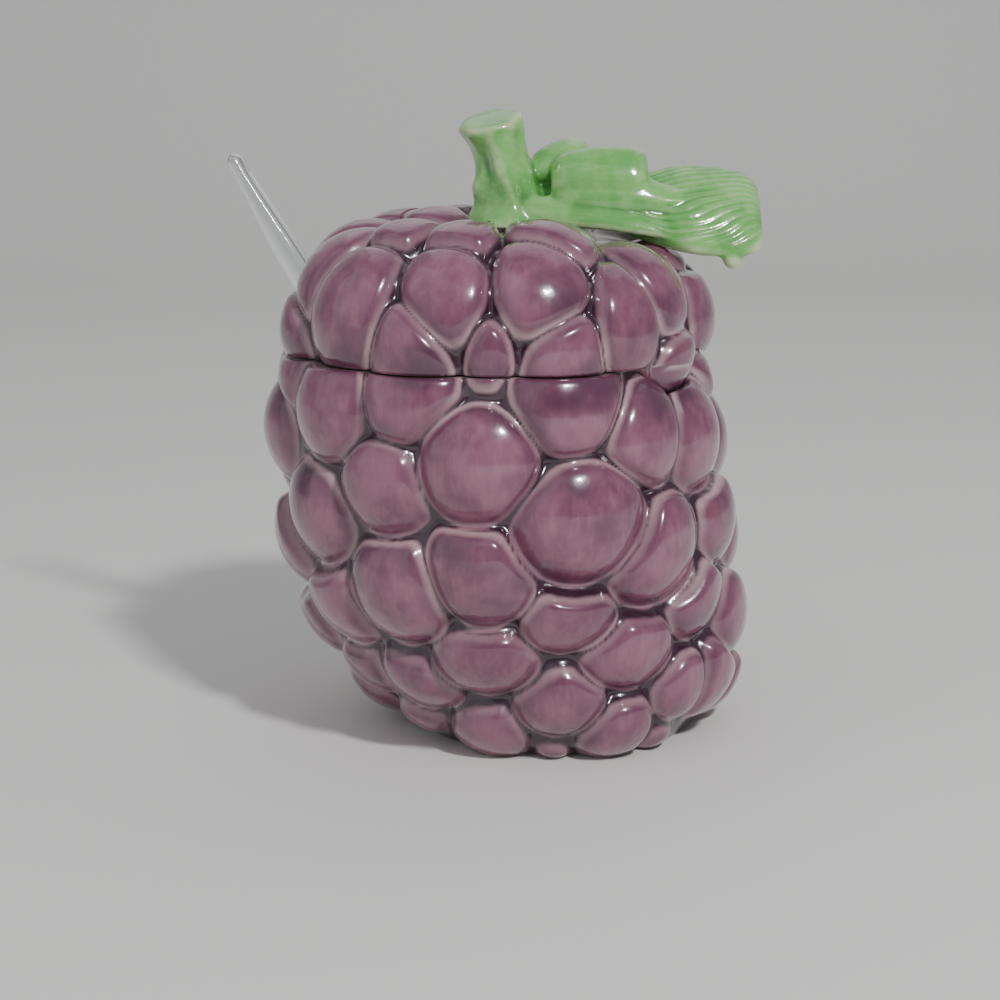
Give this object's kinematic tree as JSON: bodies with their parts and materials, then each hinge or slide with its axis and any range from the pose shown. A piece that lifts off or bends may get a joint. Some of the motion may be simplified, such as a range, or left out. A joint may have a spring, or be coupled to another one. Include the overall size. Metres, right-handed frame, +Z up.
{
  "type": "jam pot",
  "caption": "Glazed jam pot shaped as a leaning bunch of grapes, with a lift-off lid, a stem and leaf as its knob, and a clear spoon through a slot at the lid's back left.",
  "frame": {"origin": "centre of the flat foot, on the plane that the pot stands on", "axes": "+Z up, -Y towards the viewer of the picture, +X to the viewer's right, where the leaf points"},
  "size_m": [0.11, 0.0971, 0.1262],
  "materials": {
    "pot": "glossy purple glaze, dark in the hollows",
    "lid": "glossy purple glaze, dark in the hollows",
    "stem": "glossy green glaze, paler on the edges",
    "leaf": "glossy green glaze, paler on the edges",
    "spoon": "clear, polished"
  },
  "bodies": {
    "pot": {"pot": "pot"},
    "lid": {"lid": "lid", "stem": "stem", "leaf": "leaf"},
    "spoon": {"spoon": "spoon"}
  },
  "joints": [
    {"name": "lid_lift", "type": "slide", "parent": "pot", "child": "lid", "axis": [0, 0, 1], "range_m": [0, 0.09]},
    {"name": "spoon_draw", "type": "slide", "parent": "pot", "child": "spoon", "axis": [-0.554, 0.1484, 0.8191], "range_m": [0, 0.03]}
  ]
}
